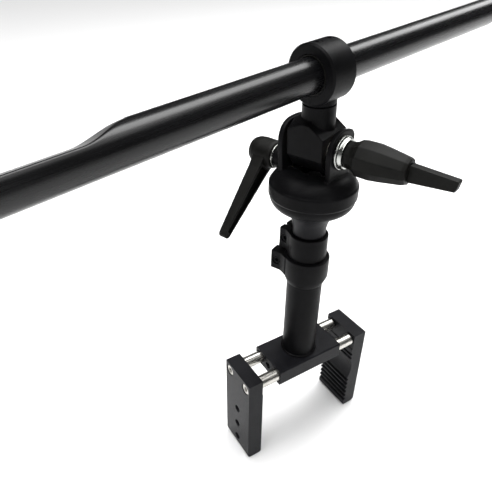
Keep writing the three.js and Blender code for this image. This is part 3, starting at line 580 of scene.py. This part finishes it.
def split_collar(label, body, profile, seat, azimuth, reach, half, ear_from, ear_to, bolt_z):
    """A turned ring with a slotted ear along +X, and the pinch bolt through the ear. One has a wider seat."""
    flank = half + EAR_FLARE
    inner = 0.5 * (COLLAR_BORE + half)
    upper = []
    for i in range(9):
        share = i / 8
        swing = math.sin(math.pi / 2 * share)
        upper.append((inner + 3.2 * swing**2 + 3.8 * share, flank - EAR_FLARE * swing**1.5))
    upper += [(reach - 0.6, half), (reach, half - 0.6)]
    lower = [(x, -y) for x, y in upper]
    outline = [(0, -flank)] + lower + upper[::-1] + [(0, flank)]
    low, high = profile[0][1] - 1, profile[-2][1] + 1
    bolt_x = reach - PINCH_INSET
    ring = joined(lathe(profile), plate(outline, ear_from, ear_to, "XY"))
    ring = cut(
        ring,
        cylinder(COLLAR_BORE, low, high, FINE),
        box(0, reach + 1, -SLIT, SLIT, low, high),
        rod_y(PINCH_HOLE, -half - 1, half + 1, bolt_x, bolt_z),
        rod_y(HEAD_POCKET_RADIUS, half - HEAD_POCKET_DEPTH, half + 1, bolt_x, bolt_z),
        rod_y(NUT_POCKET_RADIUS, -half - 1, -half + NUT_POCKET_DEPTH, bolt_x, bolt_z, HEX),
    )
    if seat:
        ring = cut(ring, cylinder(seat, low, MAST_TOP + GAP, FINE))
    place = Matrix.Rotation(math.radians(azimuth), 4, "Z")
    finished(rounded(ring, 0.4), f"look_{label}_collar", place, body, "black_coated_metal")
    face = half - 0.6
    bolt = hex_screw(head_radius=3.6, head_height=3.2, shank_radius=2, length=2 * face, socket=1.9)
    at_bolt = Matrix.Translation((bolt_x * MM, face * MM, bolt_z * MM)) @ INWARD
    finished(bolt, f"look_{label}_collar_bolt", place @ at_bolt, body, "black_coated_metal")


def collars():
    seat = MAST_RADIUS + GAP
    bore = COLLAR_BORE - 2
    lower = [
        (bore, 96.2), (seat + 0.6, 96.2), (19, 103.2), (19, 120.6), (18.6, 121.3), (18, 121.5),
        (bore, 121.5), (bore, 96.2),
    ]
    split_collar(
        "lower", "block", lower, seat,
        azimuth=114, reach=28.1, half=11.6, ear_from=104, ear_to=121.1, bolt_z=112.75,
    )
    upper = [
        (bore, 121.9), (16, 121.9), (16, 142.3), (15.6, 142.9), (15, 143.1), (bore, 143.1), (bore, 121.9),
    ]
    split_collar(
        "upper", "post", upper, None,
        azimuth=109, reach=23.2, half=8.4, ear_from=124.6, ear_to=142.7, bolt_z=133.85,
    )


def head_spigot():
    bottom, foot, top = SPIGOT_BOTTOM, SPIGOT_FOOT, SPIGOT_TOP
    shank, neck, rise = SPIGOT_SHANK, SPIGOT_NECK, SPIGOT_RISE
    start, end, floor = foot + 1, top - 0.8, top - SPINDLE_DEPTH
    flare = [(neck + rise * (i / 20) ** 2.3, start + (end - start) * i / 20) for i in range(21)]
    spigot = lathe(
        [(0, bottom), (shank - 1, bottom), (shank, bottom + 1), (shank, foot), (neck, foot)] + flare
        + [(neck + rise, top), (SPINDLE_HOLE, top), (SPINDLE_HOLE, floor), (0, floor)]
    )
    finished(rounded(spigot, 0.2, 30, 2), "look_head_spigot", WORLD, "post", "anodised_aluminium")


# ---------- head ----------
FLANGE_RADIUS, FLANGE_BOTTOM, FLANGE_TOP, FLANGE_UNDER = 34.4, 178.6, 189.4, 166.5
CROWN_HALF, CROWN_HEIGHT, CROWN_SQUARENESS = 19.6, 18.9, 2.8
CHEEK_FRONT_IN, CHEEK_FRONT_OUT, CHEEK_REAR_IN, CHEEK_REAR_OUT = 17, 21, -17.5, -21.8
CHEEK_FRONT_RADIUS, CHEEK_FRONT_FOOT, CHEEK_REAR_FOOT = 16, 14, 17
CHEEK_FILLET = ((7, 187), (3.6, 189.4), (1.2, 192.8), (0, 197))  # spread beyond the foot, and height
KNUCKLE_BORE, NUT_BORE, PAN_BORE, LEVER_BOSS, LEVER_STUD_HOLE = 20.2, 9.3, 11, 9.2, 4.3
PIN_BORE, PIN_OFFSET = 2.5, 16.2


def full_crown():
    """The rear cheek's crown: half of an oval with full shoulders."""
    points = []
    for x, y in arc(0, 0, 1, 0, 180, 64):
        across = math.copysign(abs(x) ** (2 / CROWN_SQUARENESS), x)
        points.append((CROWN_HALF * across, TILT_Z + CROWN_HEIGHT * max(y, 0) ** (2 / CROWN_SQUARENESS)))
    return points


def cheek(crown, foot, low, high):
    """One cheek, with a fillet down to the base on each side of its foot."""
    right = [(foot + spread, z) for spread, z in CHEEK_FILLET]
    left = [(-x, z) for x, z in reversed(right)]
    return rounded(plate([left[-1]] + right + crown + left[:-1], low, high, "YZ"), 0.7)


def yoke():
    radius, under, bottom, top = FLANGE_RADIUS, FLANGE_UNDER, FLANGE_BOTTOM, FLANGE_TOP
    belly = arc(22.6, under + 11.4, 10.8, -86, -8, 16)
    crown = arc(19, 182.6, 16, 25, 84, 16)
    rim = [(radius - 1, bottom - 0.3), (radius - 0.5, bottom), (radius, bottom + 0.7)]
    rim += [(radius, top - 1.2), (radius - 0.4, top - 0.3)]
    bell = lathe([(0, under), (21, under)] + belly + rim + crown + [(0, 198.6)])
    lug = plate([
        (0, TILT_Z), (17, TILT_Z), (15.6, TILT_Z + 10), (12.4, TILT_Z + 13.6), (4, TILT_Z + 15.4),
        (0, TILT_Z + 15.4),
    ], CHEEK_FRONT_IN, CHEEK_FRONT_OUT, "YZ")
    front_crown = arc(0, TILT_Z, CHEEK_FRONT_RADIUS, 0, 180, 48)
    body = joined(
        bell,
        cheek(front_crown, CHEEK_FRONT_FOOT, CHEEK_FRONT_IN, CHEEK_FRONT_OUT),
        cheek(full_crown(), CHEEK_REAR_FOOT, CHEEK_REAR_OUT, CHEEK_REAR_IN),
        rod_x(LEVER_BOSS, LEVER_ROOT, -10, 0, LEVER_Z, FINE),
        lug,
    )
    body = cut(
        body,
        rod_x(KNUCKLE_BORE, CHEEK_REAR_IN, CHEEK_FRONT_IN, 0, TILT_Z, FINE),
        rod_x(TILT_BOLT_HOLE, -30, 30, 0, TILT_Z),
        cylinder(NUT_BORE, under - 1, 185.3),
        cylinder(PAN_BORE, 185, 200),
        rod_x(LEVER_STUD_HOLE, LEVER_ROOT - 1, -15, 0, LEVER_Z),
        moved(cylinder(PIN_BORE, under - 1, LEVER_Z), -PIN_OFFSET, 0, 0),
    )
    finished(moulded(body, 0.4, 6), "look_yoke_base", HEAD, "yoke", "black_coated_metal")


def knuckle():
    """The tilting block: flat flanks with chamfers below, a sloping shoulder, and the neck."""
    outline = [(-9, -15.5), (9, -15.5), (14, -6), (14, 23), (-17, 23), (-17, -4)]
    block = plate(outline, -14.8, 14.8, "YZ")
    dome = lathe([(0, -17), (24, -17), (24, 12.6), (18.8, 18.2), (17, 20.4), (NECK_RADIUS, 22), (0, 22)])
    block = combine(block, [dome], "INTERSECT")
    block = cut(block, plate([(2.4, 21), (16, 11.8), (16, 30), (2.4, 30)], -18, 18, "XZ"))
    block = joined(rounded(block, 0.5), cylinder(NECK_RADIUS, 6, NECK_TOP, FINE))
    stem_hole = cylinder(STEM_RADIUS + GAP, STEM_BOTTOM - GAP, NECK_TOP + 1)
    block = cut(block, rod_x(TILT_BOLT_HOLE, -30, 30), stem_hole, rod_y(2.8, 4, 14, 0, STEM_SCREW_Z))
    finished(moulded(block, 0.3, 4), "look_tilt_knuckle", LEAN, "knuckle", "black_coated_metal")


def tilt_ring(name, profile, body):
    """A turned chrome ring on the tilt bolt, from the outline beyond its bore."""
    bore = TILT_BOLT_HOLE
    outline = [(bore, profile[0][1])] + profile + [(bore, profile[-1][1]), (bore, profile[0][1])]
    ring = rounded(along_x(lathe(outline)), 0.15, 30, 2)
    finished(ring, f"look_{name}", TILT, body, "chrome")


def tilt_hardware():
    tilt_ring("tilt_washer", [(12.2, 21.3), (12.6, 21.7), (12.6, 22.5), (12.2, 22.9)], "yoke")
    ferrule = [(11.4, 23.2), (11.8, 23.7), (11.6, 24.6), (10.9, 25.6), (10.8, 26.3)]
    tilt_ring("tilt_handle_ferrule", ferrule, "handle")
    head = along_x(cylinder(TILT_BOLT_HEAD, -26.3, -22.1, HEX))
    bolt = joined(head, rod_x(TILT_BOLT_RADIUS, -22.2, 44))
    finished(rounded(bolt, 0.25), "look_tilt_bolt", TILT, "yoke", "stainless_steel")


def tilt_handle():
    start, end = HANDLE_FROM, HANDLE_FROM + HANDLE_LENGTH
    barrel = along_x(lathe([
        (0, start), (10, start), (10.2, start + 4), (11.2, start + 6.4), (13.4, start + 9.6),
        (13.5, start + 20), (12.6, start + 27), (10, end - 2.4), (9, end), (0, end),
    ], HANDLE_FACETS))
    slot = box(end - 11, end + 5, -3.5, 3.5, -5.8, 5.8)
    barrel = cut(rounded(barrel, 0.45, 8, 3), slot, rod_x(7.3, start - 1, start + 13))
    finished(barrel, "look_tilt_handle", TILT, "handle", "black_plastic")
    tip = HANDLE_END
    outline = [(end - 10.6, -5.4), (end - 10.6, 5.4), (end + 0.4, 5.4), (end + 0.8, 5.9)]
    outline += arc(tip - 1.4, 2.9, 1.2, 90, 0, 5)
    outline += arc(tip - 2.2, -2.2, 1.2, 0, -90, 5)
    outline += [(end + 0.8, -6.1), (end + 0.4, -5.4)]
    arm = plate(outline, -3.2, 3.2, "XZ")
    groove = plate([(end + 5, -3), (end + 5, 3), (tip - 5.4, 1.6), (tip - 5.4, -1.6)], 2.3, 5, "XZ")
    arm = cut(arm, groove, rod_y(2.2, -6, 6, start + HANDLE_PIN))
    finished(rounded(arm, 0.7), "look_tilt_handle_arm", TILT, "handle", "black_plastic")


def pan_lever():
    """The ratchet lever: a hub, and a tapering arm with thinned sides and a hollow along its inner face."""
    hub, outer, inner = LEVER_HUB, LEVER_OUTER, LEVER_ROOT - 2.1
    body = along_x(lathe([
        (0, outer), (hub - 3.4, outer), (hub - 2.5, outer + 0.6), (hub - 1.6, outer + 2),
        (hub - 0.5, outer + 4.6), (hub, outer + 9), (hub - 0.2, inner - 2.4), (hub - 1, inner), (0, inner),
    ]))
    tip = LEVER_REACH - 3.4
    arm = plate(
        [(-10.4, 0), (-8.4, -8), (-7, -16), (-3.4, -tip)] + arc(0, -tip, 3.3, 180, 360, 16)[1:-1]
        + [(3.4, -tip), (7, -16), (8.4, -8), (10.4, 0)], 0, 11, "YZ",
    )
    arm = cut(
        arm,
        plate([(-1, 2), (-1, -LEVER_REACH - 1), (2.6, -LEVER_REACH - 1), (0.01, -8)], -12, 12, "XZ"),
        plate([(12, 2), (12, -LEVER_REACH - 1), (9.4, -LEVER_REACH - 1), (10.99, -8)], -12, 12, "XZ"),
        plate([(-5, -13), (-2, -tip + 1.6), (2, -tip + 1.6), (5, -13)], 7, 12, "YZ"),
    )
    arm = turned_about(moved(arm, outer + 7, 0, 0), "X", LEVER_ARM_TURN)
    lever = joined(body, arm)
    lever = cut(
        lever,
        rod_x(6.3, inner - 12.6, inner + 1),
        rod_x(3, outer - 1, inner),
        rod_x(5.6, outer - 1, outer + 6.4),
    )
    place = HEAD @ Matrix.Translation((0, 0, LEVER_Z * MM))
    finished(moulded(lever, 0.26, 3), "look_pan_lever", place, "lever", "black_plastic")
    washer = along_x(lathe([
        (4.3, LEVER_ROOT - 1.8), (9.3, LEVER_ROOT - 1.8), (9.7, LEVER_ROOT - 1.4), (9.7, LEVER_ROOT - 0.7),
        (9.3, LEVER_ROOT - 0.3), (4.3, LEVER_ROOT - 0.3), (4.3, LEVER_ROOT - 1.8),
    ]))
    finished(rounded(washer, 0.1, 30, 2), "look_pan_lever_washer", place, "yoke", "chrome")
    screw = lathe([
        (0, outer - 0.4), (4.3, outer - 0.4), (4.8, outer + 0.1), (4.8, outer + 1.6), (2.2, outer + 1.6),
        (2.2, outer + 18), (0, outer + 18),
    ], COARSE)
    screw = along_x(cut(screw, cylinder(2, outer - 1, outer + 0.8, HEX)))
    finished(rounded(screw, 0.12, 40, 2), "look_pan_lever_screw", place, "lever_insert", "stainless_steel")


# ---------- boom ----------
def relief_depth(x):
    share = min(max((-x - RELIEF_FROM) / (RELIEF_TO - RELIEF_FROM), 0), 1)
    return RELIEF_DEPTH * share * share * (3 - 2 * share)


def tube_section(x, radius):
    """The tube's section at x, pressed flat RELIEF_TURN from its top, with rounded ends to the flat."""
    level = radius - relief_depth(x)
    sharp = RELIEF_SHARPNESS
    points = []
    for i in range(TUBE_STEPS):
        angle = 2 * math.pi * i / TUBE_STEPS
        towards = math.cos(angle - math.pi / 2 - math.radians(RELIEF_TURN))
        r = radius
        if towards > 0:
            flat = level / towards
            r = (radius**-sharp + flat**-sharp) ** (-1 / sharp) if relief_depth(x) > 0 else radius
        points.append((x, r * math.cos(angle), r * math.sin(angle)))
    return points


def boom_tube():
    steps = TUBE_STEPS
    span = RELIEF_TO - RELIEF_FROM
    run = [-RELIEF_FROM - span * i / RELIEF_STEPS for i in range(RELIEF_STEPS + 1)]
    stations = [BOOM_RIGHT, BOOM_RIGHT - 0.4, 0] + run + [-BOOM_LEFT + 0.4, -BOOM_LEFT]
    outer = [tube_section(x, BOOM_RADIUS) for x in stations]
    inner = [tube_section(x, BOOM_RADIUS - BOOM_WALL) for x in reversed(stations)]
    rings = outer + inner
    points = [p for ring in rings for p in ring]
    faces = []
    for i in range(len(rings)):
        after = (i + 1) % len(rings)
        for j in range(steps):
            k = (j + 1) % steps
            faces.append((i * steps + j, i * steps + k, after * steps + k, after * steps + j))
    tube = build(faces, points)
    finished(rounded(tube, 0.12, 40, 2), "look_boom_tube", BOOM, "boom", "boom_black")


def on_boom(thing):
    """Moves a shape made round the X axis to the boom's line, in the leaning frame."""
    return moved(turned_about(thing, "Z", RING_TURN), 0, 0, BOOM_Z)


def boom_ring():
    """The ring that holds the boom, its stem, the liner and their three set screws."""
    half, radius = RING_HALF, RING_RADIUS
    shell = on_boom(along_x(lathe([
        (0, -half), (radius - 1.2, -half), (radius, -half + 1.2), (radius, half - 1.2),
        (radius - 1.2, half), (0, half),
    ])))
    stem = lathe([
        (0, STEM_BOTTOM), (STEM_RADIUS - 0.5, STEM_BOTTOM), (STEM_RADIUS, STEM_BOTTOM + 0.5),
        (STEM_RADIUS, 32), (NECK_RADIUS - 0.7, 32), (NECK_RADIUS, 32.7),
        (NECK_RADIUS, BOOM_Z - 8), (0, BOOM_Z - 8),
    ])
    ring = cut(joined(shell, stem), on_boom(rod_x(BORE_RADIUS, -50, 50, 0, 0, FINE)))
    for x in LINER_SCREWS:
        ring = cut(ring, on_boom(moved(cylinder(LINER_SCREW_HOLE, 8, 30), x, 0, 0)))
    finished(rounded(ring, 0.5), "look_boom_ring", LEAN, "knuckle", "black_coated_metal")
    inside, outside = BOOM_RADIUS + GAP, BOOM_RADIUS + LINER_OUTER
    liner = along_x(lathe([
        (inside, -half), (outside, -half), (outside, half), (inside, half), (inside, -half),
    ]))
    finished(rounded(liner, 0.15, 30, 2), "look_ring_liner", BOOM, "liner", "black_plastic")
    downward = Matrix.Rotation(math.pi / 2, 4, "Y")
    for i, x in enumerate(LINER_SCREWS):
        place = BOOM @ Matrix.Translation((x * MM, 0, RING_RADIUS * MM)) @ downward
        set_screw(f"ring_lock_screw_{i + 1}", 3, 6.6, 1.8, place, "knuckle")
    place = LEAN @ Matrix.Translation((0, NECK_RADIUS * MM, STEM_SCREW_Z * MM)) @ INWARD
    set_screw("ring_stem_screw", 2.5, 4.6, 1.5, place, "knuckle")


def end_plugs():
    cap = BOOM_RADIUS - 0.2
    shank = BOOM_RADIUS - BOOM_WALL - PLUG_EASE
    profile = [(0, -9), (shank, -9), (shank, GAP), (cap, GAP), (cap, 1.6), (cap - 0.4, 2.4), (cap - 1.2, 3)]
    profile += [(cap - 2.6, 3.5), (cap - 3.8, 3.6), (0, 3.6)]
    right = moved(along_x(lathe(profile)), BOOM_RIGHT, 0, 0)
    finished(rounded(right, 0.15, 30, 2), "look_boom_plug_right", BOOM, "boom", "black_plastic")
    level = BOOM_RADIUS - RELIEF_DEPTH
    left = turned_about(along_x(lathe(profile)), "Z", 180)
    flats = [
        box(-6, 0.1, -20, 20, level - GAP, 30),
        box(-0.15, 12, -20, 20, level - BOOM_WALL - PLUG_EASE, 30),
    ]
    for flat in flats:
        left = cut(left, turned_about(flat, "X", RELIEF_TURN))
    left = moved(left, -BOOM_LEFT, 0, 0)
    finished(rounded(left, 0.25), "look_boom_plug_left", BOOM, "boom", "black_plastic")


def carried_over():
    """The small inner pieces keep their CAD shape and get the finish that the record names for them."""
    looks = {part["node"]: part["material_slot"] for part in frame["record"]["subparts"]}
    for name, thing in frame["nodes"].items():
        thing.data.materials.clear()
        thing.data.materials.append(MATERIALS[looks[name]])


# ---------- studio ----------
FLOOR_HALF, FLOOR_COLOUR, FLOOR_DROP = 30, (0.88, 0.88, 0.88), 0.0005
SURROUND_STRENGTH = 0.07


def studio():
    """A pale floor and a dim surround, lit by a long strip above, a broad soft sun and a front light."""
    floor_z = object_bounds()[0][2] - FLOOR_DROP
    corners = [(x * FLOOR_HALF, y * FLOOR_HALF, floor_z) for x, y in ((-1, -1), (1, -1), (1, 1), (-1, 1))]
    floor = build([(0, 1, 2, 3)], corners)
    floor.name = "floor"
    material, _, _, shader = new_material("floor", FLOOR_COLOUR, 0.0, 0.9)
    shader.inputs["Specular IOR Level"].default_value = 0.0
    floor.data.materials.append(material)
    floor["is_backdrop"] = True
    world = bpy.data.worlds.new("studio")
    world.use_nodes = True
    background = world.node_tree.nodes["Background"]
    background.inputs["Color"].default_value = (1, 1, 1, 1)
    background.inputs["Strength"].default_value = SURROUND_STRENGTH
    bpy.context.scene.world = world
    strip = bpy.data.lights.new("strip", "AREA")
    strip.shape = "RECTANGLE"
    strip.size, strip.size_y, strip.energy = 5.4, 0.8, 84
    place_light(strip, (0.8, 0.38, 1.65), (0, 0, math.radians(12)))
    fill = bpy.data.lights.new("fill", "SUN")
    fill.energy, fill.angle = 2.2, math.radians(75)
    place_light(fill, (0, 0, 3), (0, 0, 0))
    front = bpy.data.lights.new("front", "AREA")
    front.size, front.energy = 1.0, 9
    place_light(front, (-0.15, -2.2, 1.1), (math.radians(67), 0, math.radians(-4)))


def place_light(data, place, rotation):
    light = bpy.data.objects.new(data.name, data)
    light.location = place
    light.rotation_euler = rotation
    bpy.context.scene.collection.objects.link(light)


# ---------- camera ----------
CAMERA_PLACE = (-0.224134, -0.258694, 0.351238)
AZIMUTH, ELEVATION, ROLL = -32.318, 33.33, 0.606
SENSOR, LENS, NEAR_CLIP = 36, 35.717, 0.01


def camera():
    """A camera in front, to the left and above, looking down at the head."""
    data = bpy.data.cameras.new("camera")
    data.sensor_width = SENSOR
    data.lens = LENS
    data.clip_start = NEAR_CLIP
    thing = bpy.data.objects.new("camera", data)
    azimuth, elevation, roll = math.radians(AZIMUTH), math.radians(ELEVATION), math.radians(ROLL)
    right = Vector((math.cos(azimuth), math.sin(azimuth), 0))
    back = Vector((
        math.sin(azimuth) * math.cos(elevation), -math.cos(azimuth) * math.cos(elevation), math.sin(elevation)
    ))
    up = back.cross(right)
    turned_right = math.cos(roll) * right + math.sin(roll) * up
    turned_up = -math.sin(roll) * right + math.cos(roll) * up
    place = Matrix((turned_right, turned_up, back)).transposed().to_4x4()
    place.translation = CAMERA_PLACE
    thing.matrix_world = place
    bpy.context.scene.collection.objects.link(thing)
    bpy.context.scene.camera = thing


clamp_block()
clamp_jaws()
guide_rods()
foot_place = Matrix.Translation(((-BLOCK_HALF_LENGTH + 0.8) * MM, 0, ROD_Z * MM))
set_screw("mast_foot_set_screw", 3, 28.2, 1.8, foot_place, "block")
mast_tube()
collars()
head_spigot()
yoke()
knuckle()
tilt_hardware()
tilt_handle()
pan_lever()
boom_tube()
boom_ring()
end_plugs()
carried_over()
studio()
camera()
bpy.context.scene.view_settings.view_transform = "Standard"
